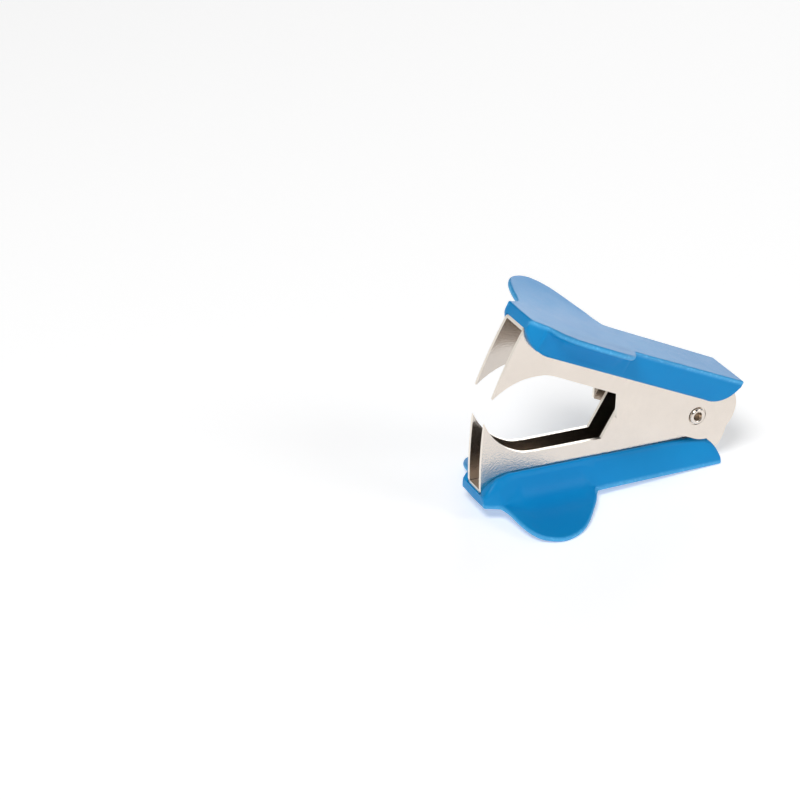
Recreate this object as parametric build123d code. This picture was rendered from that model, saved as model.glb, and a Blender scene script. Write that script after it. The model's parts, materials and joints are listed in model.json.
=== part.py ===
"""Claw staple remover: two sprung steel jaws with moulded grips on one rivet.

Each jaw is drawn in its own jaw frame: the pivot axis is the origin, X runs
rearwards to the tail, Y across, and Z points outwards, away from the bite.
The lower jaw is turned half a turn about X, the upper one is opened, and the
whole stands on the lower grip's wings and tail, with the claws towards -X.
"""
from build123d import *
import math
import os

# Steel jaws
STEEL = 0.8              # strip thickness of both jaws
BEND_RADIUS = 0.9        # outer radius where the web turns into a wall
CLAW_REACH = 50.6        # pivot axis to the claws' front edge
CLAW_BELLY = 0.3         # bulge of the claws' front edge
CLAW_HEIGHT = 16.5       # outside of the web to the claw tips
CLAW_SWEEP = 12.6        # length over which the arm's edge turns into the claw
ARM_DEPTH = 8.0          # outside of the web to the arms' inner edge
UPPER_WEB = 8.1          # pivot axis to the outside of the upper web
LOWER_WEB = 10.2         # pivot axis to the outside of the lower web
UPPER_WIDTH_REAR = 10.5  # outside width of the upper jaw at the pivot
LOWER_WIDTH_REAR = 6.4   # outside width of the lower jaw at the pivot
LOWER_WIDTH_FRONT = 6.0  # outside width of the lower claws
CLAW_GAP = 0.3           # side clearance between upper and lower claws

# Pivot walls
SHOULDER_REACH = 22.4    # pivot axis to the shoulders that close the bite
UPPER_SHOULDER_RUN = 2.4  # how far the upper shoulder leans back
UPPER_CHEEK_DROP = 5.1   # pivot axis to the upper cheeks' lower edge
UPPER_CHEEK_RADIUS = 7.1
UPPER_CHEEK_SET = 2.0    # upper cheek round, behind the pivot
LOWER_CHEEK_RISE = 5.6   # pivot axis to the lower cheeks' hidden top edge
LOWER_SHOULDER_LEAN = 28.0  # degrees off the outward normal
LOWER_CHEEK_RADIUS = 8.3
LOWER_CHEEK_SET = 1.0    # lower cheek round, behind the pivot
LOWER_CHEEK_DROP = 4.5   # lower cheek round, outwards from the pivot
STOP_GAP = 0.06          # lower cheek to the upper web when fully open
OPEN_ANGLE = 23.5        # angle between the jaws at rest

# Rivet
SHANK = 3.0
RIVET_RUN = 0.05         # radial clearance of the upper jaw on the shank
RIVET_FIT = 0.02         # radial clearance of the lower jaw on the shank
RIVET_FLOAT = 0.08       # end float of the upper jaw under head and rim
RIM_DIAMETER = SHANK + 0.6
RIM_HEIGHT = 0.7
RIM_RECESS = RIM_DIAMETER + 0.7  # counterbore of the rim in the upper jaw's cheek
RIM_SINK = 0.25          # depth of that counterbore
HEAD_DIAMETER = SHANK + 1.6
HEAD_HEIGHT = 0.8
RIVET_BORE = SHANK - 1.0
RIVET_BORE_DEPTH = 3.5
BOSS_DIAMETER = SHANK + 3.6
BOSS_GAP = 0.1           # lower boss to the upper cheek

# Torsion spring
WIRE = 0.8
SPRING_TURNS = 3         # whole turns, besides the part turn between the legs
SPRING_PITCH = 0.95
SPRING_INNER_GAP = 0.4   # coil to shank
SPRING_LEG = 9.0         # pivot axis to the legs' ends
COIL_STEPS = 16          # points on each turn of the wire's path
LEG_STEPS = 4            # points on each leg
LEG_SEAT = 0.05          # leg to the web it presses on

# Moulded grips
PLATE = 2.4              # plastic over the web
SKIRT = 1.0              # plastic beside the steel at the skirt's edge
SKIRT_DEPTH = 4.1        # outside of the web to the skirt's edge
SKIRT_FLARE = 0.5        # how much wider the skirts are at the plate
GRIP_FIT = 0.03          # steel to plastic
GRIP_OVERHANG = 0.3      # plate in front of the web
GRIP_TAIL = 6.9          # pivot axis to the plate's tail edge
NOSE_ROUND = 6.4         # length of the skirts' front rounding
TAIL_ROUND = 7.4         # length of the skirts' rear rounding
GRIP_NOSE_WIDTH = 10.2
GRIP_MID_WIDTH = 14.2    # plate width behind the wings
GRIP_TAIL_WIDTH = 12.8
WING_SPAN = 39.4         # over both wing tips
WING_FRONT = 47.0        # pivot axis to the wings' front edge, near its root
NOTCH = 1.2              # length over which the plate's edge turns into the wings' front edge
WING_REAR = 24.4         # pivot axis to the wings' rear root
WING_TIP = 0.38          # how far back the widest point lies, as a share of the wing
WING_RISE = 2.5          # how far the wing tips curl outwards
WING_THICK = 1.3
WING_CURL = 1.4          # exponent of the curl
WING_FADE = 9.0          # length over which the wings' rear roots fade into the skirts
WING_START = 4.0         # the same at the wings' front roots


def unit(angle):
    """Direction in the XZ plane at this angle behind the outward normal."""
    return math.sin(math.radians(angle)), math.cos(math.radians(angle))


def outline_face(plane, pieces):
    """Face inside a closed outline of lines and curves drawn on a plane."""
    return plane * make_face(Wire([edge for piece in pieces for edge in piece.edges()]))


def prism(face, width):
    """Extrude a face of the XZ plane to both sides."""
    return extrude(face, amount=width / 2, both=True)


def half_width(stations, x):
    """Half width at x, in a straight line between (x, half width) stations."""
    (x0, w0), (x1, w1) = stations
    return w0 + (w1 - w0) * (x - x0) / (x1 - x0)


def channel_plan(stations, inset):
    """Plan of a jaw: straight at the rear, narrowing from the shoulder to the claws."""
    (x0, w0), (x1, w1) = stations
    behind = 4 * UPPER_CHEEK_RADIUS
    ahead = x1 - CLAW_REACH
    tip = half_width(stations, ahead)
    side = [(behind, w0 - inset), (x0, w0 - inset), (ahead, tip - inset)]
    return side + [(x, -w) for x, w in reversed(side)]


def plan_prism(points, low, high):
    """Stand a plan outline up between two heights."""
    face = make_face(Polyline(*points, close=True))
    return Pos(0, 0, low) * extrude(face, amount=high - low)


def arm_edge(web):
    """Front edge, tip and swept back edge of a claw, up to where the arm runs straight."""
    tip = web - CLAW_HEIGHT
    edge = web - ARM_DEPTH
    fall = edge - tip
    middle = (-CLAW_REACH - CLAW_BELLY, (web + tip) / 2)
    front = ThreePointArc((-CLAW_REACH, web), middle, (-CLAW_REACH, tip))
    root = -CLAW_REACH + CLAW_SWEEP
    sweep = Spline(
        (-CLAW_REACH, tip),
        (-CLAW_REACH + 0.17 * CLAW_SWEEP, edge - 0.60 * fall),
        (-CLAW_REACH + 0.36 * CLAW_SWEEP, edge - 0.32 * fall),
        (-CLAW_REACH + 0.62 * CLAW_SWEEP, edge - 0.10 * fall),
        (root, edge),
        tangents=[(0.45, 1), (1, 0)],
    )
    return front, sweep, (root, edge)


def channel(profile, stations, web):
    """Bend a jaw from its side profile: two walls and a web of one thickness."""
    wide = 2 * max(w for _, w in stations)
    low = -2 * CLAW_HEIGHT
    blank = prism(profile, wide + 2) & plan_prism(channel_plan(stations, 0), low, 2 * web)
    ridge = blank.edges().filter_by(lambda e: e.center().Z > web - 0.01).filter_by(
        lambda e: e.bounding_box().size.X > 10)
    blank = fillet(ridge, BEND_RADIUS)
    hollow = plan_prism(channel_plan(stations, STEEL), low, web - STEEL)
    crease = hollow.edges().filter_by(lambda e: e.center().Z > web - STEEL - 0.01).filter_by(
        lambda e: e.bounding_box().size.X > 10)
    return blank - fillet(crease, max(BEND_RADIUS - STEEL, 0.1))


def pivot_bore(diameter):
    """Bar along the pivot axis, for a bore."""
    return Rot(90, 0, 0) * Cylinder(diameter / 2, 4 * UPPER_WIDTH_REAR)


UPPER_STATIONS = [
    (-SHOULDER_REACH, UPPER_WIDTH_REAR / 2),
    (-CLAW_REACH, LOWER_WIDTH_FRONT / 2 + CLAW_GAP + STEEL),
]
LOWER_STATIONS = [
    (-SHOULDER_REACH, LOWER_WIDTH_REAR / 2),
    (-CLAW_REACH, LOWER_WIDTH_FRONT / 2),
]
BOSS_FACE = UPPER_WIDTH_REAR / 2 - STEEL - BOSS_GAP


def upper_jaw():
    """Outer jaw, with round cheeks behind the bite."""
    front, sweep, root = arm_edge(UPPER_WEB)
    shoulder = (-SHOULDER_REACH, root[1])
    heel = (-SHOULDER_REACH + UPPER_SHOULDER_RUN, -UPPER_CHEEK_DROP)
    centre = (UPPER_CHEEK_SET, UPPER_CHEEK_RADIUS - UPPER_CHEEK_DROP)
    under = (centre[0], -UPPER_CHEEK_DROP)
    back = (centre[0] + UPPER_CHEEK_RADIUS, centre[1])
    rise = UPPER_WEB - centre[1]
    end = (centre[0] + math.sqrt(UPPER_CHEEK_RADIUS**2 - rise**2), UPPER_WEB)
    outline = [
        front, sweep, Polyline(root, shoulder, heel, under),
        ThreePointArc(under, back, end), Line(end, (-CLAW_REACH, UPPER_WEB)),
    ]
    jaw = channel(outline_face(Plane.XZ, outline), UPPER_STATIONS, UPPER_WEB)
    sink = Pos(0, -UPPER_WIDTH_REAR / 2, 0) * Rot(90, 0, 0) * Cylinder(RIM_RECESS / 2, 2 * RIM_SINK)
    return jaw - pivot_bore(SHANK + 2 * RIVET_RUN) - sink


def lower_jaw():
    """Inner jaw, whose cheeks carry the pivot bosses and the opening stop."""
    front, sweep, root = arm_edge(LOWER_WEB)
    shoulder = (-SHOULDER_REACH, root[1])
    lean = math.tan(math.radians(LOWER_SHOULDER_LEAN))
    crown = (-SHOULDER_REACH + lean * (root[1] + LOWER_CHEEK_RISE), -LOWER_CHEEK_RISE)
    # The stop flat lies along the upper web's inside at the full opening.
    slope_x, slope_z = unit(OPEN_ANGLE)
    reach = UPPER_WEB - STEEL - STOP_GAP
    stop = ((reach - slope_z * LOWER_CHEEK_RISE) / slope_x, -LOWER_CHEEK_RISE)
    centre = (LOWER_CHEEK_SET, LOWER_CHEEK_DROP)
    nape = (centre[0] + LOWER_CHEEK_RADIUS * 0.9, -LOWER_CHEEK_RISE * 0.1)
    knuckle_x = LOWER_CHEEK_SET + LOWER_CHEEK_RADIUS * 0.75
    knuckle = (knuckle_x, -(reach - slope_x * knuckle_x) / slope_z)
    rise = LOWER_WEB - centre[1]
    end = (centre[0] + math.sqrt(LOWER_CHEEK_RADIUS**2 - rise**2), LOWER_WEB)
    back = (centre[0] + LOWER_CHEEK_RADIUS, centre[1])
    outline = [
        front, sweep, Polyline(root, shoulder, crown, stop, knuckle, nape),
        ThreePointArc(nape, back, end), Line(end, (-CLAW_REACH, LOWER_WEB)),
    ]
    jaw = channel(outline_face(Plane.XZ, outline), LOWER_STATIONS, LOWER_WEB)
    inside = LOWER_WIDTH_REAR / 2 - STEEL
    boss = Rot(90, 0, 0) * Cylinder(BOSS_DIAMETER / 2, BOSS_FACE - inside)
    offset = (BOSS_FACE + inside) / 2
    jaw = jaw + Pos(0, offset, 0) * boss + Pos(0, -offset, 0) * boss
    return jaw - pivot_bore(SHANK + 2 * RIVET_FIT)


def wing_height(y):
    """Outer surface of a grip at y, above the web."""
    root = GRIP_NOSE_WIDTH / 2
    share = max(0.0, y - root) / (WING_SPAN / 2 - root)
    return PLATE + WING_RISE * share**WING_CURL


def grip_side(web):
    """Side outline of a grip, from its front face round to its tail."""
    top = web + PLATE
    edge = web - SKIRT_DEPTH
    nose = -CLAW_REACH - GRIP_OVERHANG
    high = web + PLATE + WING_RISE + WING_THICK
    nose_low = (nose, web)
    nose_end = (nose + NOSE_ROUND, edge)
    tail_start = (GRIP_TAIL - TAIL_ROUND, edge)
    tail_end = (GRIP_TAIL, top)
    nose_mid = (nose + 0.40 * NOSE_ROUND, web - 0.68 * SKIRT_DEPTH)
    tail_mid = (GRIP_TAIL - 0.29 * TAIL_ROUND, edge + 0.24 * (top - edge))
    outline = [
        ThreePointArc(nose_low, nose_mid, nose_end), Line(nose_end, tail_start),
        ThreePointArc(tail_start, tail_mid, tail_end),
        Polyline(tail_end, (GRIP_TAIL, high), (nose, high), nose_low),
    ]
    return prism(outline_face(Plane.XZ, outline), WING_SPAN + 4)


def wing_plan():
    """Half plan of a wing, from the plate's front edge round its tip to its rear root."""
    length = WING_FRONT - WING_REAR
    root = GRIP_MID_WIDTH / 2
    out = WING_SPAN / 2 - root
    # How far back and how far out each point lies, as shares of the wing.
    shares = [(0.0, 0.09), (0.03, 0.42), (0.08, 0.70), (0.18, 0.90), (WING_TIP, 1.0),
              (0.62, 0.83), (0.86, 0.36), (0.95, 0.12), (1.0, 0.0)]
    points = [(-WING_FRONT + back * length, root + side * out) for back, side in shares]
    return Spline(notch_start(), *points)


def notch_start():
    """Point where a wing's outline leaves the plate's front edge."""
    nose = (-CLAW_REACH - GRIP_OVERHANG, GRIP_NOSE_WIDTH / 2)
    corner = (-WING_FRONT, GRIP_MID_WIDTH / 2 * 0.95)
    share = 1 - NOTCH / math.dist(nose, corner)
    return tuple(n + (c - n) * share for n, c in zip(nose, corner))


def grip_plan(web):
    """Plan of the whole grip with both wings, stood up through its height."""
    nose = -CLAW_REACH - GRIP_OVERHANG
    front = [(nose, 0), (nose, GRIP_NOSE_WIDTH / 2), notch_start()]
    rear = [(-WING_REAR, GRIP_MID_WIDTH / 2), (GRIP_TAIL, GRIP_TAIL_WIDTH / 2), (GRIP_TAIL, 0)]
    half = outline_face(
        Plane.XY, [Polyline(*front), wing_plan(), Polyline(*rear), Line(rear[-1], front[0])])
    whole = half + mirror(half, Plane.XZ)
    low = web - 2 * SKIRT_DEPTH
    return Pos(0, 0, low) * extrude(whole, amount=2 * SKIRT_DEPTH + PLATE + 2 * WING_RISE)


def grip_section(web, foot):
    """Cross-section through the wings: plate, skirts and curled wings, in YZ."""
    tip = WING_SPAN / 2 + 1
    root = GRIP_NOSE_WIDTH / 2
    edge = -SKIRT_DEPTH
    span = tip - root
    outer = Spline(*[(root + span * k / 4, wing_height(root + span * k / 4)) for k in range(5)],
                   tangents=[(1, 0), (1, 0.4)])
    rim = wing_height(tip)
    under = Spline(
        (tip, rim - WING_THICK * 0.85),
        (foot + 0.62 * (tip - foot), wing_height(foot + 0.62 * (tip - foot)) - WING_THICK),
        (foot + 0.25 * (tip - foot), PLATE - WING_THICK * 1.05),
        (foot + 0.06 * (tip - foot), -0.25 * SKIRT_DEPTH),
        (foot, edge),
        tangents=[(-1, -0.4), (-0.05, -1)],
    )
    ends = [Line((0, PLATE), (root, PLATE)), outer, Line((tip, rim), (tip, rim - WING_THICK * 0.85)),
            under, Polyline((foot, edge), (0, edge), (0, PLATE))]
    half = outline_face(Plane.YZ, ends)
    return Pos(0, 0, web) * (half + mirror(half, Plane.XZ))


def grip_body(web, foot):
    """Plate and skirts from nose to tail, without the wings."""
    top = GRIP_MID_WIDTH / 2
    edge = -SKIRT_DEPTH
    corners = [(-foot, edge), (foot, edge), (max(top, foot + SKIRT_FLARE), PLATE),
               (-max(top, foot + SKIRT_FLARE), PLATE)]
    face = Plane.YZ * make_face(Polyline(*corners, close=True))
    return Pos(0, 0, web) * extrude(face, amount=2 * CLAW_REACH, both=True)


def wing_zone(web):
    """Side view of the length that carries wings; it slants so that their roots fade out."""
    front = -WING_FRONT - 1
    rear = -WING_REAR + 1
    high = web + PLATE + WING_RISE + WING_THICK
    low = web - SKIRT_DEPTH - 1
    under = web + PLATE - WING_THICK
    outline = [(front, high), (front, under), (front + WING_START, low), (rear - WING_FADE, low),
               (rear, web + PLATE), (rear, high)]
    return prism(Plane.XZ * make_face(Polyline(*outline, close=True)), 2 * WING_SPAN)


def grip(web, stations):
    """One moulded grip, pushed over the outside of its jaw."""
    foot = stations[0][1] + SKIRT
    winged = extrude(grip_section(web, foot), amount=2 * CLAW_REACH, both=True)
    shell = (winged & wing_zone(web)) + grip_body(web, foot)
    shell = shell & grip_side(web) & grip_plan(web)
    reach = 2 * CLAW_REACH
    (x0, w0), (x1, w1) = stations
    slope = (w1 - w0) / (x1 - x0)
    far = w1 + slope * (-reach - x1)
    side = [(reach, w0 + GRIP_FIT), (x0, w0 + GRIP_FIT), (-reach, far + GRIP_FIT)]
    steel = plan_prism(side + [(x, -w) for x, w in reversed(side)], -reach, web + GRIP_FIT)
    return shell - steel


def pivot_rivet():
    """Semi-tubular rivet: domed head at +Y, rolled rim round a blind bore at -Y."""
    face = UPPER_WIDTH_REAR / 2 + RIVET_FLOAT
    seat = RIM_SINK - face
    lip = seat - RIM_HEIGHT
    shank = SHANK / 2
    rim = RIM_DIAMETER / 2
    bore = RIVET_BORE / 2
    head = HEAD_DIAMETER / 2
    collar = face + 0.2 * HEAD_HEIGHT
    crown = face + HEAD_HEIGHT
    # The dome is part of a sphere centred on the rivet's axis.
    dome = ((crown - collar) ** 2 + head**2) / (2 * (crown - collar))
    middle = (head / 2, crown - dome + math.sqrt(dome**2 - (head / 2) ** 2))
    deep = lip + RIVET_BORE_DEPTH
    roll = lip + 0.35 * RIM_HEIGHT
    profile = [
        Polyline((0, deep), (bore, deep), (bore, roll)),
        ThreePointArc((bore, roll), ((bore + rim) / 2, lip), (rim, roll)),
        Polyline((rim, roll), (rim, seat), (shank, seat), (shank, face), (head, face),
                 (head, collar)),
        ThreePointArc((head, collar), middle, (0, crown)),
        Line((0, crown), (0, deep)),
    ]
    return revolve(outline_face(Plane.XY, profile), Axis.Y, 360)


def spring_leg(radius, web):
    """Angle above +X where a leg leaves the coil, and its end under a web, in that jaw's frame."""
    end_z = web - STEEL - LEG_SEAT - WIRE / 2
    to_end = math.degrees(math.atan2(end_z, -SPRING_LEG))
    spread = math.degrees(math.acos(radius / math.hypot(SPRING_LEG, end_z)))
    return to_end - spread, Vector(-SPRING_LEG, 0, end_z)


def leg_points(coil_end, leg_end):
    """Points along a leg, from its end up to the coil."""
    return [leg_end + (coil_end - leg_end) * (k / LEG_STEPS) for k in range(LEG_STEPS)]


def torsion_spring():
    """Wire coil round the shank, with one leg pressing under each web."""
    radius = SHANK / 2 + SPRING_INNER_GAP + WIRE / 2
    upper_touch, upper_end = spring_leg(radius, UPPER_WEB)
    lower_touch, lower_end = spring_leg(radius, LOWER_WEB)
    first = upper_touch - OPEN_ANGLE
    sweep_angle = 360 * SPRING_TURNS + first + lower_touch
    length = SPRING_PITCH * sweep_angle / 360
    steps = math.ceil(COIL_STEPS * sweep_angle / 360)
    coil = []
    for k in range(steps + 1):
        angle = math.radians(first - sweep_angle * k / steps)
        y = length * (0.5 - k / steps)
        coil.append(Vector(radius * math.cos(angle), y, radius * math.sin(angle)))
    lifted = upper_end.rotate(Axis.Y, OPEN_ANGLE) + Vector(0, length / 2, 0)
    lowered = Vector(lower_end.X, -length / 2, -lower_end.Z)
    path = leg_points(coil[0], lifted) + coil + leg_points(coil[-1], lowered)[::-1]
    wire = Spline(*path)
    return sweep(Plane(origin=wire @ 0, z_dir=wire % 0) * Circle(WIRE / 2), wire)


def assemble():
    """Place every piece: lower jaw half turned, upper jaw opened, all standing level."""
    open_up = Rot(0, OPEN_ANGLE, 0)
    flip = Rot(180, 0, 0)
    pieces = {
        "lower_jaw": flip * lower_jaw(),
        "lower_grip": flip * grip(LOWER_WEB, LOWER_STATIONS),
        "pivot_rivet": pivot_rivet(),
        "torsion_spring": torsion_spring(),
        "upper_jaw": open_up * upper_jaw(),
        "upper_grip": open_up * grip(UPPER_WEB, UPPER_STATIONS),
    }
    return pieces


def stand(pieces):
    """Pitch and drop the assembly until wing tips and tail edge touch Z = 0."""
    low = pieces["lower_grip"]
    tail = (GRIP_TAIL, -(LOWER_WEB + PLATE))
    tilt = 0.0
    for _ in range(12):
        turned = Rot(0, tilt, 0) * low
        wing_x = -WING_FRONT + WING_TIP * (WING_FRONT - WING_REAR)
        c, s = math.cos(math.radians(tilt)), math.sin(math.radians(tilt))
        tail_x, tail_z = c * tail[0] + s * tail[1], c * tail[1] - s * tail[0]
        drop = tail_z - turned.bounding_box().min.Z
        if abs(drop) < 0.002:
            break
        tilt += math.degrees(drop / (tail_x - wing_x))
    placed = {name: Rot(0, tilt, 0) * shape for name, shape in pieces.items()}
    box = Compound(list(placed.values())).bounding_box()
    shift = Pos(-(box.min.X + box.max.X) / 2, -(box.min.Y + box.max.Y) / 2, -box.min.Z)
    pivot = shift.position
    print(f"pitch {tilt:.4f} deg, pivot axis at x {pivot.X:.4f}, z {pivot.Z:.4f}")
    return {name: shift * shape for name, shape in placed.items()}


os.makedirs("parts", exist_ok=True)
for name, shape in stand(assemble()).items():
    export_step(shape, f"parts/{name}.step")
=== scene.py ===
"""Looks of a claw staple remover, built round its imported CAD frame.

Two moulded grips, two pressed jaws, the rivet and the coiled spring are each a
class that shapes and dresses its own pieces. Sizes are in millimetres in a jaw's
own frame: x forwards from the pivot to the claws, y across, z outwards.
"""
from __future__ import annotations

import json
import logging
import math
from dataclasses import dataclass, field
from enum import Enum
from typing import Any

import bmesh
import bpy
from mathutils import Matrix, Vector

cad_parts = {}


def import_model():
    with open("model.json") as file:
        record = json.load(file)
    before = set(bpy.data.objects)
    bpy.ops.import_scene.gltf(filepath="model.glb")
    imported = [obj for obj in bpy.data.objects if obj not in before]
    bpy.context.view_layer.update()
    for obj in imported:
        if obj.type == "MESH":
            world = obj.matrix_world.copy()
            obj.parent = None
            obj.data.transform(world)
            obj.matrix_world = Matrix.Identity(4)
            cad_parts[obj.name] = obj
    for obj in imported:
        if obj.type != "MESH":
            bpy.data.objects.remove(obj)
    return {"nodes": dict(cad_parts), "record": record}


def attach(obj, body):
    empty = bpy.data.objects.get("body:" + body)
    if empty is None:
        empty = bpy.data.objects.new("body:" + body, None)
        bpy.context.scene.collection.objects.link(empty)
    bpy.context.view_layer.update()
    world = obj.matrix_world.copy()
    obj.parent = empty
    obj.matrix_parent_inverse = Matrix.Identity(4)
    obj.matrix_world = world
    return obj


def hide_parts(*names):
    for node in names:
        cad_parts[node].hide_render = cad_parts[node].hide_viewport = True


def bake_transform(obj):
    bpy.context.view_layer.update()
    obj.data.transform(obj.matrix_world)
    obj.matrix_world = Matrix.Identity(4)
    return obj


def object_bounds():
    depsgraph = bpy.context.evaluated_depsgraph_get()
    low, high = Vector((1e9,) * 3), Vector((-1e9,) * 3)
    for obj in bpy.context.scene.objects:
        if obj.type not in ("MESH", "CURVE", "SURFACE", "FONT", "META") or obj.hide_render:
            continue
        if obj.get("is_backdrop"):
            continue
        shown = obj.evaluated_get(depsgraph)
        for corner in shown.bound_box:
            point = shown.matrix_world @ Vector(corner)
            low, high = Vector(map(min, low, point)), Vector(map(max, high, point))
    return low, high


LOG = logging.getLogger("staple_remover")
MM = 0.001
WELD = 1e-4
EDGE = "edge"


def smooth(value: float, low: float, high: float) -> float:
    """Return 0 below low, 1 above high and an S-curve between."""
    share = min(1.0, max(0.0, (value - low) / (high - low)))
    return share * share * (3 - 2 * share)


def mix(a: float, b: float, share: float) -> float:
    """Return the value that lies the given share of the way from a to b."""
    return a + (b - a) * share


class Body(Enum):
    """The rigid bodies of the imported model."""

    LOWER = "lower_body"
    UPPER = "upper_body"


class Slot(Enum):
    """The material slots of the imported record."""

    STEEL = "plated_steel"
    RIVET = "rivet_steel"
    SPRING = "spring_wire"
    PLASTIC = "blue_plastic"


class Wire:
    """A number socket that can be used in arithmetic."""

    def __init__(self, tree: "Tree", socket: bpy.types.NodeSocket) -> None:
        """Wrap a socket of a tree.

        Args:
            tree: The tree that new Math nodes go into.
            socket: The output socket to wrap.
        """
        self.tree = tree
        self.socket = socket

    def _math(self, operation: str, *values: Any) -> "Wire":
        """Add a Math node and return its output.

        Args:
            operation: The node's operation.
            values: The numbers or wires it works on.

        Returns:
            The result as a wire.
        """
        inputs = dict(enumerate(values))
        return self.tree.node("ShaderNodeMath", {"operation": operation}, inputs)[0]

    def __add__(self, other: Any) -> "Wire":
        """Add."""
        return self._math("ADD", self, other)

    __radd__ = __add__

    def __sub__(self, other: Any) -> "Wire":
        """Subtract."""
        return self._math("SUBTRACT", self, other)

    def __rsub__(self, other: Any) -> "Wire":
        """Subtract this from a number."""
        return self._math("SUBTRACT", other, self)

    def __mul__(self, other: Any) -> "Wire":
        """Multiply."""
        return self._math("MULTIPLY", self, other)

    __rmul__ = __mul__

    def __pow__(self, other: Any) -> "Wire":
        """Raise to a power."""
        return self._math("POWER", self, other)

    def __abs__(self) -> "Wire":
        """Drop the sign."""
        return self._math("ABSOLUTE", self)

    def clamp(self) -> "Wire":
        """Hold between 0 and 1."""
        return self._math("MINIMUM", self._math("MAXIMUM", self, 0.0), 1.0)


class Node:
    """A shader node whose outputs read as wires, by name or number."""

    def __init__(self, tree: "Tree", node: bpy.types.Node) -> None:
        """Wrap a node.

        Args:
            tree: The tree it is in.
            node: The node to wrap.
        """
        self.tree = tree
        self.node = node

    def __getitem__(self, key: str | int) -> Wire:
        """Return an output as a wire."""
        return Wire(self.tree, self.node.outputs[key])


class Tree:
    """A material's node tree."""

    def __init__(self, name: str) -> None:
        """Make an empty material.

        Args:
            name: The material's name.
        """
        self.material = bpy.data.materials.new(name)
        self.material.use_nodes = True
        self.material.node_tree.nodes.clear()

    def node(self, kind: str, settings: dict[str, Any] | None = None,
             inputs: dict[str | int, Any] | None = None) -> Node:
        """Add a node, set it up, then fill or link its sockets.

        Args:
            kind: The node's type.
            settings: Its properties; "stops" holds a ramp's positions and colours.
            inputs: Values, wires or nodes for its sockets.

        Returns:
            The wrapped node.
        """
        tree = self.material.node_tree
        made = tree.nodes.new(kind)
        for key, value in (settings or {}).items():
            if key == "stops":
                ramp = made.color_ramp.elements
                while len(ramp) < len(value):
                    ramp.new(0.5)
                for stop, (position, colour) in zip(ramp, value):
                    stop.position = position
                    stop.color = colour
            else:
                setattr(made, key, value)
        for key, value in (inputs or {}).items():
            if isinstance(value, Wire):
                tree.links.new(value.socket, made.inputs[key])
            else:
                made.inputs[key].default_value = value
        return Node(self, made)

    def noise(self, place: Wire, grain: float, detail: float = 2.0, rough: float = 0.5) -> Wire:
        """Return soft noise whose grains are about this many millimetres wide."""
        inputs = {"Vector": place, "Scale": 1 / (grain * MM), "Detail": detail, "Roughness": rough}
        return self.node("ShaderNodeTexNoise", {}, inputs)["Fac"]

    def blend(self, share: Any, a: Any, b: Any) -> Wire:
        """Mix two colours by a share."""
        settings = {"data_type": "RGBA", "clamp_factor": True}
        return self.node("ShaderNodeMix", settings, {0: share, 6: a, 7: b})[2]

    def bump(self, height: Wire, distance: float, strength: float) -> Wire:
        """Return a normal raised by a height of up to this many millimetres."""
        inputs = {"Height": height, "Distance": distance * MM, "Strength": strength}
        return self.node("ShaderNodeBump", {}, inputs)["Normal"]

    def surface(self, **sockets: Any) -> bpy.types.Material:
        """End the tree in a principled surface.

        Args:
            sockets: Values and wires, with underscores for the spaces in the names.

        Returns:
            The finished material.
        """
        inputs = {key.replace("_", " "): value for key, value in sockets.items()}
        shader = self.node("ShaderNodeBsdfPrincipled", {}, inputs)
        self.node("ShaderNodeOutputMaterial", {}, {"Surface": shader["BSDF"]})
        return self.material


@dataclass(frozen=True)
class PlatedSteel:
    """Satin nickel plate over pressed strip, with an orange-peel grain and sheared edges.

    Sizes are in millimetres. inner is how strongly painted shade darkens the faces that
    look at each other across a channel, in place of the dark reflections inside it.
    """

    name: str
    bright: tuple[float, float, float] = (0.84, 0.765, 0.69)
    dull: tuple[float, float, float] = (0.71, 0.64, 0.575)
    edge: tuple[float, float, float] = (0.95, 0.88, 0.79)
    # The dark tone of the painted shade inside the channels.
    shade: tuple[float, float, float] = (0.22, 0.20, 0.19)
    sheen: float = 0.21
    grain: float = 0.42
    depth: float = 0.060
    relief: float = 0.55
    inner: float = 0.0
    cloud_size: float = 6.0
    rub_size: float = 1.3
    cloud_weight: float = 0.6
    sheared_tint: float = 0.7
    uneven: float = 0.10
    peel_uneven: float = 0.08

    def material(self) -> bpy.types.Material:
        """Return the finish as a node material."""
        tree = Tree(self.name)
        spot = tree.node("ShaderNodeTexCoord")
        place = spot["Object"]
        facing = tree.node("ShaderNodeSeparateXYZ", {}, {0: spot["Normal"]})
        sheared = (1.0 - abs(facing["Y"])).clamp() ** 4.0
        cloud = tree.noise(place, self.cloud_size, 3.0)
        peel = tree.noise(place, self.grain, 2.0, 0.6)
        rub = tree.noise(place, self.rub_size)
        worn = (cloud * self.cloud_weight + rub * (1 - self.cloud_weight)).clamp()
        colour = tree.blend(worn, (*self.dull, 1), (*self.bright, 1))
        colour = tree.blend(sheared * self.sheared_tint, colour, (*self.edge, 1))
        # Painted shade: faces whose normals point back across the channel towards its middle are
        # darkened towards the shade tone.
        if self.inner:
            across = tree.node("ShaderNodeSeparateXYZ", {}, {0: place})["Y"] * (1 / MM)
            channel_shade_mask = (across * facing["Y"] * -1.0).clamp()
            colour = tree.blend(channel_shade_mask * self.inner, colour, (*self.shade, 1))
        roughness = (self.sheen + (cloud - 0.5) * self.uneven + (peel - 0.5) * self.peel_uneven
                     + sheared * self.uneven)
        normal = tree.bump(peel, self.depth, self.relief)
        return tree.surface(Base_Color=colour, Metallic=1.0, Roughness=roughness.clamp(),
                            Normal=normal)


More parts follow.
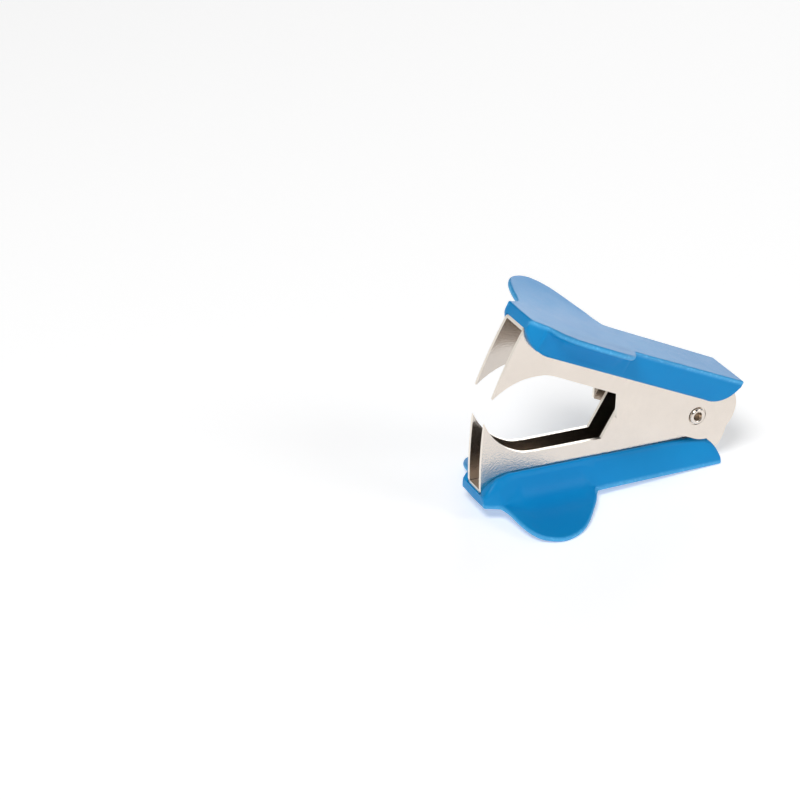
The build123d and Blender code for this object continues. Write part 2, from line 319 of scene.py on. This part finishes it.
@dataclass(frozen=True)
class MouldedPlastic:
    """Semi-gloss polypropylene with flow clouds, a fine spark-eroded grain and a painted highlight
    on its rounded edges, mottled by scuffs.

    Sizes are in millimetres.
    """

    name: str
    deep: tuple[float, float, float] = (0.000, 0.215, 0.550)
    pale: tuple[float, float, float] = (0.002, 0.275, 0.620)
    # The pale blue of the painted highlight along the rounded edges.
    painted_highlight: tuple[float, float, float] = (0.12, 0.50, 0.86)
    gloss: float = 0.38
    flow_size: float = 14.0
    wave_size: float = 3.2
    grain_size: float = 0.28
    scuff_size: float = 0.9
    scuff_level: float = 0.52
    scuff_gain: float = 3.0
    # How strongly the painted edge highlight shows.
    highlight_level: float = 0.6
    uneven: float = 0.10
    grain_uneven: float = 0.08
    rim_dull: float = 0.05
    depth: float = 0.09
    relief: float = 0.5

    def material(self) -> bpy.types.Material:
        """Return the finish as a node material."""
        tree = Tree(self.name)
        place = tree.node("ShaderNodeTexCoord")["Object"]
        rim = tree.node("ShaderNodeAttribute", {"attribute_name": EDGE})["Fac"]
        flow = tree.noise(place, self.flow_size, 3.0)
        grain = tree.noise(place, self.grain_size, 3.0, 0.65)
        wave = tree.noise(place, self.wave_size)
        scuff = tree.noise(place, self.scuff_size, 4.0, 0.7) - self.scuff_level
        scuff = scuff.clamp() * self.scuff_gain
        colour = tree.blend(flow, (*self.deep, 1), (*self.pale, 1))
        # Painted highlight: the rounded edges, marked by the edge attribute, are lightened towards
        # a pale blue, more where the scuff noise is high.
        colour = tree.blend(rim * (self.highlight_level + scuff), colour, (*self.painted_highlight, 1))
        roughness = (self.gloss + (wave - 0.5) * self.uneven + (grain - 0.5) * self.grain_uneven
                     + rim * self.rim_dull)
        normal = tree.bump(grain * 0.5 + wave * 0.5, self.depth, self.relief)
        return tree.surface(Base_Color=colour, Roughness=roughness.clamp(), Normal=normal,
                            IOR=1.49, Specular_IOR_Level=0.20)


@dataclass(frozen=True)
class FloorPaper:
    """Plain pale studio paper."""

    name: str = "studio_paper"
    tone: float = 0.85
    glow: float = 0.48

    def material(self) -> bpy.types.Material:
        """Return the finish as a node material."""
        tree = Tree(self.name)
        white = (self.tone, self.tone, self.tone, 1)
        return tree.surface(Base_Color=white, Roughness=0.9, Emission_Color=white,
                            Emission_Strength=self.glow)


def dress(piece: bpy.types.Object, material: bpy.types.Material) -> None:
    """Give a piece one material.

    Args:
        piece: The object.
        material: Its finish.
    """
    piece.data.materials.clear()
    piece.data.materials.append(material)


def make_piece(name: str, bm: bmesh.types.BMesh, place: Matrix) -> bpy.types.Object:
    """Turn a bmesh in millimetres into a smooth object at the origin.

    Args:
        name: The piece's name.
        bm: The shape, which is freed.
        place: From the shape's own frame to the row frame in metres.

    Returns:
        The linked object.
    """
    bmesh.ops.transform(bm, matrix=place, verts=bm.verts)
    bmesh.ops.recalc_face_normals(bm, faces=bm.faces)
    mesh = bpy.data.meshes.new(name)
    bm.to_mesh(mesh)
    bm.free()
    mesh.shade_smooth()
    piece = bpy.data.objects.new(name, mesh)
    bpy.context.scene.collection.objects.link(piece)
    return piece


@dataclass(frozen=True)
class JawFrame:
    """Where a jaw lies: x forwards to the claws, y to the row's +Y, z outwards."""

    pivot: Vector
    outward: Vector
    pad_height: float

    @classmethod
    def of(cls, record: dict[str, Any], mount: str) -> "JawFrame":
        """Read a jaw's frame from the mount on its grip.

        Args:
            record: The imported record.
            mount: The flat face on the grip's back.

        Returns:
            The frame; pad_height is in millimetres above the pivot.
        """
        pivot = Vector(record["behaviour"]["joints"][0]["pos_m"])
        pad = next(m for m in record["mounts"] if m["name"] == mount)
        outward = Vector(pad["axis"]).normalized()
        height = (Vector(pad["pos_m"]) - pivot).dot(outward)
        return cls(pivot, outward, height / MM)

    @property
    def forward(self) -> Vector:
        """Return the direction from the pivot to the claws."""
        rearward = Vector((0, 1, 0)).cross(self.outward)
        return rearward if rearward.x < 0 else -rearward

    def matrix(self, lift: float = 0.0) -> Matrix:
        """Return the placing of a shape in millimetres, its z starting at this height."""
        turn = Matrix((self.forward, Vector((0, 1, 0)), self.outward)).transposed()
        place = turn.to_4x4() @ Matrix.Diagonal((MM, MM, MM, 1))
        place.translation = self.pivot + self.outward * lift * MM
        return place


@dataclass
class Station:
    """One place on a grip's half plan, with the plan's outward normal there."""

    x: float
    y: float
    nx: float
    ny: float


@dataclass
class Grip:
    """A moulded grip: flat plate, skirts down the jaw's sides and two curled finger wings.

    Half widths are measured from the jaw's middle, and heights from the outside of
    its web. A mark of wing_marks is how far back and how far out it lies, as shares
    of the wing.
    """

    name: str
    jaw: JawFrame
    body: Body
    steel_rear: float
    steel_front: float
    plate: float = 2.4
    reach: float = 50.9
    tail: float = -6.9
    nose_half: float = 5.1
    mid_half: float = 7.1
    tail_half: float = 6.4
    wing_front: float = 47.0
    wing_rear: float = 24.4
    wing_half: float = 19.66
    wing_fade: float = 3.0
    wing_marks: tuple[tuple[float, float], ...] = (
        (-0.027, -0.042), (0.0, 0.09), (0.03, 0.42), (0.08, 0.70), (0.18, 0.90),
        (0.38, 1.0), (0.62, 0.83), (0.86, 0.36), (0.95, 0.12), (1.0, 0.0),
    )
    wing_widths: tuple[float, float] = (0.1, 2.6)
    rise: float = 2.42
    curl: float = 1.4
    rim: float = 0.55
    thick: float = 1.25
    skirt: float = 1.0
    skirt_depth: float = 4.1
    nose_run: float = 6.4
    nose_bulge: tuple[float, float] = (2.56, -2.79)
    tail_run: float = 7.4
    tail_bulge: tuple[float, float] = (2.15, -2.54)
    corner: float = 0.35
    fillet: float = 4.6
    fillet_drop: float = 0.95
    root_lead: float = 1.5
    root_slope: float = 1.3
    root_ease: float = 4.0
    hem_round: float = 0.7
    merge: float = 1.2
    fit: float = 0.03
    least_plate: float = 0.5
    least_edge: float = 0.05
    least_wall: float = 0.35
    least_bend: float = 0.02
    least_step: float = 0.01
    least_foot: float = 0.3
    lip_share: float = 0.6
    shoulder_x: float = 22.4
    claw_x: float = 50.6
    nose_steps: int = 10
    nose_extra: tuple[float, ...] = (0.15, 0.4, 0.7)
    wing_steps: int = 8
    rear_steps: int = 34
    rear_crowding: float = 1.8
    plate_steps: int = 8
    turn_steps: int = 8
    under_steps: int = 4
    fillet_steps: int = 6
    skirt_steps: int = 3
    hem_steps: int = 4

    def top(self, x: float, y: float) -> float:
        """Return the height of the outer surface."""
        share = max(0.0, y - self.nose_half) / (self.wing_half - self.nose_half)
        length = smooth(x, self.wing_rear - self.wing_fade, self.wing_rear + self.wing_fade)
        length *= 1 - smooth(x, self.wing_front, self.wing_front + 2)
        return self.plate + self.rise * share**self.curl * length

    def steel_half(self, x: float) -> float:
        """Return the half width of the steel inside, with the fit."""
        share = max(0.0, (x - self.shoulder_x) / (self.claw_x - self.shoulder_x))
        return mix(self.steel_rear, self.steel_front, share) + self.fit

    def side(self, half: float, z: float) -> float:
        """Return the skirt's outer half width at a height, where the plan is this wide."""
        foot = self.steel_half(self.shoulder_x) + self.skirt
        slope = (self.mid_half - foot) / (self.plate + self.skirt_depth)
        line = foot + slope * (z + self.skirt_depth)
        gap = max(0.0, 1 - abs(line - half) / self.merge)
        return min(half, line) - gap * gap * self.merge / 4

    def hem(self, x: float) -> float:
        """Return the height of the skirts' lower edge, round at the nose and the tail."""
        back, low = self.nose_bulge
        if x > self.reach - self.nose_run:
            return arc_height(x, (self.reach, 0.0), (self.reach - back, low),
                              (self.reach - self.nose_run, -self.skirt_depth))
        ahead, low = self.tail_bulge
        if x < self.tail + self.tail_run:
            return arc_height(x, (self.tail, self.plate), (self.tail + ahead, low),
                              (self.tail + self.tail_run, -self.skirt_depth))
        return -self.skirt_depth

    def wing_points(self) -> list[Vector]:
        """Return the wing's outline, from its front root round to its rear root."""
        length = self.wing_front - self.wing_rear
        out = self.wing_half - self.mid_half
        points = [Vector((self.wing_front - along * length, self.mid_half + out * share))
                  for along, share in self.wing_marks]
        return flowing(points, self.wing_steps)

    def plan(self) -> list[Station]:
        """Return the stations of the half plan, from the nose to the tail."""
        wing = self.wing_points()
        corner = Vector((self.reach, self.nose_half))
        nose = [corner.lerp(wing[0], k / self.nose_steps) for k in range(self.nose_steps + 1)]
        nose[1:1] = [nose[0].lerp(nose[1], share) for share in self.nose_extra]
        rear = []
        for k in range(1, self.rear_steps + 1):
            share = 1 - (1 - k / self.rear_steps) ** self.rear_crowding
            rear.append(Vector((mix(self.wing_rear, self.tail, share),
                                mix(self.mid_half, self.tail_half, share))))
        stations = []
        line = nose + wing[1:] + rear
        for k, point in enumerate(line):
            way = (line[min(len(line) - 1, k + 1)] - line[max(0, k - 1)]).normalized()
            stations.append(Station(point.x, point.y, way.y, -way.x))
        return stations

    def ends(self, x: float) -> float:
        """Return how far the nose and tail rounding pulls the section in."""
        gap = max(0.0, self.corner - min(self.reach - x, x - self.tail))
        return self.corner - math.sqrt(max(0.0, self.corner**2 - gap**2))

    def edge_turn(self, wing: float) -> list[tuple[float, float, bool]]:
        """Return the rounding of the plate's edge, from its top round to its underside.

        Args:
            wing: 0 at a plain edge and 1 out on a wing.

        Returns:
            How far in and how far down each point lies, and whether it is past the rim.
        """
        turn = []
        for k in range(self.turn_steps + 1):
            angle = math.pi * k / self.turn_steps
            lean = max(0.0, angle - math.pi / 2) / (math.pi / 2)
            plain_in = self.corner * (1 - math.sin(min(angle, math.pi / 2)))
            plain_down = self.corner + (self.thick - self.corner) * lean
            if lean == 0:
                plain_down = self.corner * (1 - math.cos(angle))
            wide_in = self.rim * (1 - math.sin(angle))
            wide_down = self.thick / 2 * (1 - math.cos(angle))
            turn.append((mix(plain_in, wide_in, wing), mix(plain_down, wide_down, wing), lean > 0))
        return turn

    def outer_rows(self, spot: Station, hem: float) -> list[tuple[Vector, float]]:
        """Return the section's points over the plate and round its edge.

        Args:
            spot: The station.
            hem: The height of the skirt's lower edge there.

        Returns:
            Points, each with its share of the painted edge highlight.
        """
        x = spot.x
        pull = self.ends(x)
        half = spot.y - pull
        wing = smooth(spot.y, *(self.mid_half + width for width in self.wing_widths))
        turn = self.edge_turn(wing)
        inset = turn[0][0]
        first = Vector((x - spot.nx * inset, half - spot.ny * inset))
        rows: list[tuple[Vector, float]] = []
        for k in range(self.plate_steps):
            share = k / self.plate_steps
            y = first.y * share
            rows.append((Vector((mix(x, first.x, share), y, self.top(x, y) - pull)), 0.0))
        for k, (inset, drop, past_rim) in enumerate(turn):
            y = half - spot.ny * inset
            z = max(self.top(x, half) - pull - drop, hem + self.least_edge)
            if past_rim:
                y = mix(min(y, self.side(half, z)), y, wing)
            # Share of the painted edge highlight, strongest halfway round the edge's turn.
            highlight_share = math.sin(math.pi * k / self.turn_steps) ** 2
            rows.append((Vector((x - spot.nx * inset, y, z)), highlight_share))
        return rows

    def under_rows(self, spot: Station, hem: float, low: Vector) -> list[Vector]:
        """Return the section's points along a wing's underside and down its fillet.

        Args:
            spot: The station.
            hem: The height of the skirt's lower edge there.
            low: The last point of the plate's edge.

        Returns:
            The points; the last one lies on the skirt.
        """
        x = spot.x
        half = spot.y - self.ends(x)
        wing = smooth(spot.y, *(self.mid_half + width for width in self.wing_widths))
        reach = max(0.0, low.y - self.side(half, low.z))
        run = max(0.0, self.wing_front + self.root_lead - x)
        bend = min(self.fillet, reach, self.root_slope * run * run / (run + self.root_ease))
        start_y = self.side(half, low.z) + bend
        start_z = low.z + (self.top(x, start_y) - self.top(x, low.y)) * wing
        end_z = start_z - min(self.fillet * self.fillet_drop, bend + self.least_bend)
        end_z = max(end_z, hem + self.least_wall)
        start_z = max(start_z, end_z + self.least_step)
        rows = []
        for k in range(1, self.under_steps + 1):
            y = mix(low.y, start_y, k / self.under_steps)
            z = mix(low.z, start_z, k / self.under_steps)
            if reach > bend:
                z = low.z + (self.top(x, y) - self.top(x, low.y))
            rows.append(Vector((low.x, y, z)))
        start = Vector((low.x, start_y, start_z))
        knee = Vector((low.x, self.side(half, start_z), start_z))
        end = Vector((low.x, self.side(half, end_z), end_z))
        for k in range(1, self.fillet_steps + 1):
            t = k / self.fillet_steps
            rows.append(start * (1 - t) ** 2 + knee * 2 * t * (1 - t) + end * t * t)
        return rows

    def skirt_rows(self, spot: Station, hem: float, end: Vector) -> list[Vector]:
        """Return the section's points down the skirt, round its edge and up to the web.

        Args:
            spot: The station.
            hem: The height of the skirt's lower edge there.
            end: Where the fillet meets the skirt.

        Returns:
            The points; the last one lies on the web's middle.
        """
        half = spot.y - self.ends(spot.x)
        foot = self.side(half, hem)
        lip = min(self.hem_round, (end.z - hem) * self.lip_share)
        inner = min(self.steel_half(spot.x), foot - self.least_foot)
        rows = []
        for k in range(1, self.skirt_steps + 1):
            z = mix(end.z, hem + lip, k / self.skirt_steps)
            rows.append(Vector((end.x, self.side(half, z), z)))
        for k in range(1, self.hem_steps + 1):
            angle = math.pi / 2 * k / self.hem_steps
            y = foot - lip * (1 - math.cos(angle))
            rows.append(Vector((end.x, y, hem + lip * (1 - math.sin(angle)))))
        roof = max(self.fit, hem)
        for share in (0.0, 0.5, 1.0):
            rows.append(Vector((end.x, inner, mix(hem, roof, share))))
        for share in (0.5, 1.0):
            rows.append(Vector((mix(end.x, spot.x, share), inner * (1 - share), roof)))
        return rows

    def section(self, spot: Station) -> list[tuple[Vector, float]]:
        """Return the half section at a station, from the plate's middle round to its underside.

        Args:
            spot: The station.

        Returns:
            Points, each with its share of the painted edge highlight.
        """
        hem = min(self.hem(spot.x), self.plate - self.least_plate)
        rows = self.outer_rows(spot, hem)
        under = self.under_rows(spot, hem, rows[-1][0])
        under += self.skirt_rows(spot, hem, under[-1])
        return rows + [(point, 0.0) for point in under]

    def build(self) -> bpy.types.Object:
        """Bend a grid into the half grip, mirror it and close its ends.

        Returns:
            The grip, in place.
        """
        sections = [self.section(spot) for spot in self.plan()]
        along, across = len(sections) - 1, len(sections[0]) - 1
        bm = bmesh.new()
        bmesh.ops.create_grid(bm, x_segments=along, y_segments=across, size=1.0)
        # This layer carries the share of the painted edge highlight.
        highlight_share = bm.verts.layers.float.new(EDGE)
        for vert in bm.verts:
            i = round((vert.co.x + 1) / 2 * along)
            j = round((vert.co.y + 1) / 2 * across)
            vert.co, vert[highlight_share] = sections[i][j]
        bmesh.ops.mirror(bm, geom=bm.verts[:] + bm.edges[:] + bm.faces[:], axis="Y",
                         merge_dist=WELD, mirror_u=False, mirror_v=False)
        bmesh.ops.remove_doubles(bm, verts=bm.verts, dist=WELD)
        bmesh.ops.dissolve_degenerate(bm, edges=bm.edges, dist=WELD)
        rims = [edge for edge in bm.edges if edge.is_boundary]
        caps = bmesh.ops.holes_fill(bm, edges=rims, sides=0)["faces"]
        bmesh.ops.triangulate(bm, faces=caps)
        piece = make_piece(self.name, bm, self.jaw.matrix(self.jaw.pad_height - self.plate))
        weight = piece.modifiers.new("even_shading", "WEIGHTED_NORMAL")
        weight.keep_sharp = True
        return piece

    def add(self, finish: MouldedPlastic, stands_for: str) -> None:
        """Build, dress and place the grip.

        Args:
            finish: The plastic.
            stands_for: The CAD node it replaces.
        """
        piece = self.build()
        dress(piece, finish.material())
        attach(piece, self.body.value)
        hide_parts(stands_for)
        LOG.info("%s: %d faces", self.name, len(piece.data.polygons))


def arc_height(x: float, a: tuple[float, float], b: tuple[float, float],
               c: tuple[float, float]) -> float:
    """Return the height at x of the lower arc through three points.

    Args:
        x: Where to read it; held within the arc's ends.
        a: One end.
        b: A point between.
        c: The other end.

    Returns:
        The height.
    """
    x = min(max(x, min(a[0], c[0])), max(a[0], c[0]))
    d = 2 * (a[0] * (b[1] - c[1]) + b[0] * (c[1] - a[1]) + c[0] * (a[1] - b[1]))
    sa, sb, sc = (p[0] ** 2 + p[1] ** 2 for p in (a, b, c))
    ox = (sa * (b[1] - c[1]) + sb * (c[1] - a[1]) + sc * (a[1] - b[1])) / d
    oz = (sa * (c[0] - b[0]) + sb * (a[0] - c[0]) + sc * (b[0] - a[0])) / d
    radius = math.hypot(a[0] - ox, a[1] - oz)
    return oz - math.sqrt(max(0.0, radius**2 - (x - ox) ** 2))


def flowing(points: list[Vector], steps: int) -> list[Vector]:
    """Return points along a smooth curve through some marks.

    Args:
        points: The marks.
        steps: How many points each span gets.

    Returns:
        The points, with both ends.
    """
    out = [points[0]]
    for k in range(len(points) - 1):
        p0, p1, p2, p3 = (points[min(max(k + n, 0), len(points) - 1)] for n in (-1, 0, 1, 2))
        for n in range(1, steps + 1):
            t = n / steps
            out.append(0.5 * (2 * p1 + (p2 - p0) * t + (2 * p0 - 5 * p1 + 4 * p2 - p3) * t**2
                              + (3 * p1 - p0 - 3 * p2 + p3) * t**3))
    return out


@dataclass
class TorsionSpring:
    """The wire coil round the rivet, whose two legs press the jaws apart."""

    upper: JawFrame
    lower: JawFrame
    wire: float = 0.8
    radius: float = 2.3
    turns: int = 3
    pitch: float = 0.95
    leg: float = 9.0
    seat: float = 3.65
    part_turn: float = 0.27
    sides: int = 14
    turn_steps: int = 26
    leg_steps: int = 6

    def touch(self, jaw: JawFrame) -> tuple[float, Vector]:
        """Return where a leg meets the coil and where it ends.

        Args:
            jaw: The jaw that the leg presses on.

        Returns:
            The angle above +X in the row frame, and the leg's end from the pivot.
        """
        end = jaw.forward * self.leg + jaw.outward * (jaw.pad_height - self.seat)
        sign = 1 if jaw.outward.z > 0 else -1
        spread = math.acos(self.radius / end.length)
        return math.atan2(end.z, end.x) - sign * spread, end

    def build(self) -> bpy.types.Object:
        """Spin the wire's circle into the coil and draw both ends out into legs.

        Returns:
            The spring, in place.
        """
        first, upper_end = self.touch(self.upper)
        last, lower_end = self.touch(self.lower)
        angle = 2 * math.pi * self.turns + first - last
        length = self.pitch * angle / (2 * math.pi)
        steps = self.turn_steps * (self.turns + 1)
        bm = bmesh.new()
        ring = bmesh.ops.create_circle(bm, segments=self.sides, radius=self.wire / 2)["verts"]
        centre = Vector((self.radius * math.cos(first), length / 2, self.radius * math.sin(first)))
        aim = Matrix.Rotation(-first, 4, "Y")
        bmesh.ops.transform(bm, matrix=Matrix.Translation(centre) @ aim, verts=ring)
        start = list(bm.edges)
        done = bmesh.ops.spin(bm, geom=ring + start, cent=(0, 0, 0), axis=(0, 1, 0), angle=angle,
                              dvec=(0, -length / steps, 0), steps=steps)["geom_last"]
        final = [item for item in done if isinstance(item, bmesh.types.BMEdge)]
        for edges, y, end in ((start, length / 2, upper_end), (final, -length / 2, lower_end)):
            self.draw_leg(bm, edges, Vector((end.x, y, end.z)))
        bmesh.ops.holes_fill(bm, edges=[e for e in bm.edges if e.is_boundary], sides=0)
        place = Matrix.Diagonal((MM, MM, MM, 1))
        place.translation = self.upper.pivot
        return make_piece("coil_spring", bm, place)

    def draw_leg(self, bm: bmesh.types.BMesh, edges: list[bmesh.types.BMEdge],
                 end: Vector) -> None:
        """Extrude an end of the coil into a straight leg.

        Args:
            bm: The spring so far.
            edges: The open ring at the coil's end.
            end: Where the leg ends.
        """
        verts = list(dict.fromkeys(v for edge in edges for v in edge.verts))
        centre = sum((v.co for v in verts), Vector()) / len(verts)
        run = end - centre
        for _ in range(self.leg_steps):
            made = bmesh.ops.extrude_edge_only(bm, edges=edges)["geom"]
            verts = [item for item in made if isinstance(item, bmesh.types.BMVert)]
            edges = [item for item in made if isinstance(item, bmesh.types.BMEdge)]
            edges = [e for e in edges if all(v in verts for v in e.verts)]
            bmesh.ops.translate(bm, verts=verts, vec=run / self.leg_steps)

    def add(self, finish: PlatedSteel) -> None:
        """Build, dress and place the spring.

        Args:
            finish: The drawn wire.
        """
        piece = self.build()
        dress(piece, finish.material())
        half = self.pitch * (self.turns + self.part_turn) / 2 * MM
        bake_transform(piece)
        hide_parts("torsion_spring")
        LOG.info("coil_spring: %d faces", len(piece.data.polygons))


@dataclass
class SteelPart:
    """A pressed or turned steel piece: the CAD shape with its sheared edges broken."""

    name: str
    node: bpy.types.Object
    body: Body
    slot: Slot
    burr: float = 0.07
    flat: float = 0.6
    crease: float = 32.0

    def build(self) -> bpy.types.Object:
        """Join a copy of the CAD faces into flats, then round the edges between them.

        Returns:
            The piece, in place.
        """
        bm = bmesh.new()
        bm.from_mesh(self.node.data)
        bmesh.ops.remove_doubles(bm, verts=bm.verts, dist=WELD * MM)
        bmesh.ops.dissolve_limit(bm, angle_limit=math.radians(self.flat), verts=bm.verts,
                                 edges=bm.edges, use_dissolve_boundaries=False)
        crease = math.radians(self.crease)
        sharp = [edge for edge in bm.edges
                 if len(edge.link_faces) == 2 and edge.calc_face_angle(0) > crease]
        bmesh.ops.bevel(bm, geom=sharp, offset=self.burr * MM, offset_type="OFFSET", segments=2,
                        profile=0.5, affect="EDGES", clamp_overlap=True, material=-1)
        bmesh.ops.triangulate(bm, faces=[face for face in bm.faces if len(face.verts) > 4])
        piece = make_piece(self.name, bm, Matrix.Identity(4))
        piece.modifiers.new("even_shading", "WEIGHTED_NORMAL")
        return piece

    def add(self, finish: PlatedSteel) -> None:
        """Build, dress and place the piece.

        Args:
            finish: Its plate.
        """
        piece = self.build()
        dress(piece, finish.material())
        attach(piece, self.body.value)
        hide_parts(self.node.name)
        LOG.info("%s: %d faces", self.name, len(piece.data.polygons))


@dataclass(frozen=True)
class StudioLight:
    """One soft lamp, aimed at the part."""

    name: str
    place: tuple[float, float, float]
    width: float
    power: float

    def add(self, target: Vector) -> None:
        """Hang the lamp.

        Args:
            target: The point it looks at.
        """
        lamp = bpy.data.lights.new(self.name, "AREA")
        lamp.shape = "DISK"
        lamp.size = self.width
        lamp.energy = self.power
        holder = bpy.data.objects.new(self.name, lamp)
        holder.location = Vector(self.place)
        holder.rotation_mode = "QUATERNION"
        holder.rotation_quaternion = (target - holder.location).to_track_quat("-Z", "Y")
        bpy.context.scene.collection.objects.link(holder)


@dataclass
class Studio:
    """Floor, lamps, sky and camera.

    eye, right and up are the camera's, in millimetres from the pivot in a frame
    with x rearwards along the lower jaw, y across and z up.
    """

    lower: JawFrame
    centre: Vector
    lens: float = 99.0
    sensor: float = 36.0
    eye: tuple[float, float, float] = (-241.505, -355.936, 219.357)
    right: tuple[float, float, float] = (0.90703, -0.41956, 0.03553)
    up: tuple[float, float, float] = (0.16484, 0.43145, 0.88695)
    floor_size: float = 2.4
    sky: float = 0.92
    overhead: float = 0.045
    wall_top: float = 0.20
    ceiling_edge: float = 0.36
    lights: tuple[StudioLight, ...] = (
        StudioLight("key", (-0.55, -0.50, 1.15), 0.55, 10.2),
        StudioLight("fill", (0.75, -0.75, 0.75), 0.60, 3.0),
        StudioLight("back", (0.90, 1.10, 0.42), 0.90, 6.0),
    )

    def add_floor(self) -> None:
        """Lay the pale floor under the part."""
        bm = bmesh.new()
        bmesh.ops.create_grid(bm, x_segments=2, y_segments=2, size=self.floor_size / 2 / MM)
        floor = make_piece("floor", bm, Matrix.Diagonal((MM, MM, MM, 1)))
        dress(floor, FloorPaper().material())
        floor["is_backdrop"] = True

    def add_sky(self) -> None:
        """Ring the room with a pale wall under a dim ceiling."""
        world = bpy.data.worlds.new("studio")
        world.use_nodes = True
        nodes, links = world.node_tree.nodes, world.node_tree.links
        spot = nodes.new("ShaderNodeTexCoord")
        split = nodes.new("ShaderNodeSeparateXYZ")
        ramp = nodes.new("ShaderNodeValToRGB")
        links.new(spot.outputs["Generated"], split.inputs[0])
        links.new(split.outputs["Z"], ramp.inputs["Fac"])
        links.new(ramp.outputs["Color"], nodes["Background"].inputs["Color"])
        wall, ceiling = ramp.color_ramp.elements
        wall.position, ceiling.position = self.wall_top, self.ceiling_edge
        wall.color = (1.0, 1.0, 1.0, 1.0)
        ceiling.color = (self.overhead, self.overhead, self.overhead, 1.0)
        nodes["Background"].inputs["Strength"].default_value = self.sky
        bpy.context.scene.world = world
        bpy.context.scene.view_settings.view_transform = "Standard"

    def add_camera(self) -> None:
        """Stand the camera where the part is seen over its claws, from the left."""
        rear, rise = -self.lower.forward, -self.lower.outward
        turn = Matrix((rear, Vector((0, 1, 0)), rise)).transposed()
        right, up = Vector(self.right), Vector(self.up)
        aim = turn @ Matrix((right, up, right.cross(up))).transposed()
        camera = bpy.data.cameras.new("camera")
        camera.lens = self.lens
        camera.sensor_width = self.sensor
        camera.clip_start = 0.01
        camera.clip_end = 20.0
        holder = bpy.data.objects.new("camera", camera)
        place = aim.to_4x4()
        place.translation = self.lower.pivot + turn @ Vector(self.eye) * MM
        holder.matrix_world = place
        bpy.context.scene.collection.objects.link(holder)
        bpy.context.scene.camera = holder

    def add(self) -> None:
        """Set the whole studio up."""
        self.add_floor()
        self.add_sky()
        self.add_camera()
        for light in self.lights:
            light.add(self.centre)
        LOG.info("studio: %d lamps", len(self.lights))


def main() -> None:
    """Build the remover round its CAD frame, piece by piece."""
    logging.basicConfig(level=logging.INFO, format="%(message)s")
    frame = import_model()
    cad_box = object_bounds()
    record = frame["record"]
    lower = JawFrame.of(record, "lower_pad")
    upper = JawFrame.of(record, "upper_pad")
    plastic = MouldedPlastic("blue_polypropylene")
    Grip("upper_grip_moulding", upper, Body.UPPER, 5.25, 3.95).add(plastic, "upper_grip")
    Grip("lower_grip_moulding", lower, Body.LOWER, 3.2, 3.0).add(plastic, "lower_grip")
    nodes = frame["nodes"]
    outer = PlatedSteel("plated_outer_strip", inner=0.25)
    SteelPart("upper_jaw_strip", nodes["upper_jaw"], Body.UPPER, Slot.STEEL).add(outer)
    inner = PlatedSteel("plated_inner_strip", inner=0.30)
    SteelPart("lower_jaw_strip", nodes["lower_jaw"], Body.LOWER, Slot.STEEL).add(inner)
    rivet = PlatedSteel("plated_rivet", sheen=0.16)
    SteelPart("hollow_rivet", nodes["pivot_rivet"], Body.LOWER, Slot.RIVET).add(rivet)
    TorsionSpring(upper, lower).add(PlatedSteel("drawn_wire", sheen=0.3, grain=0.5))
    Studio(lower, (cad_box[0] + cad_box[1]) / 2).add()


if __name__ == "__main__":
    main()
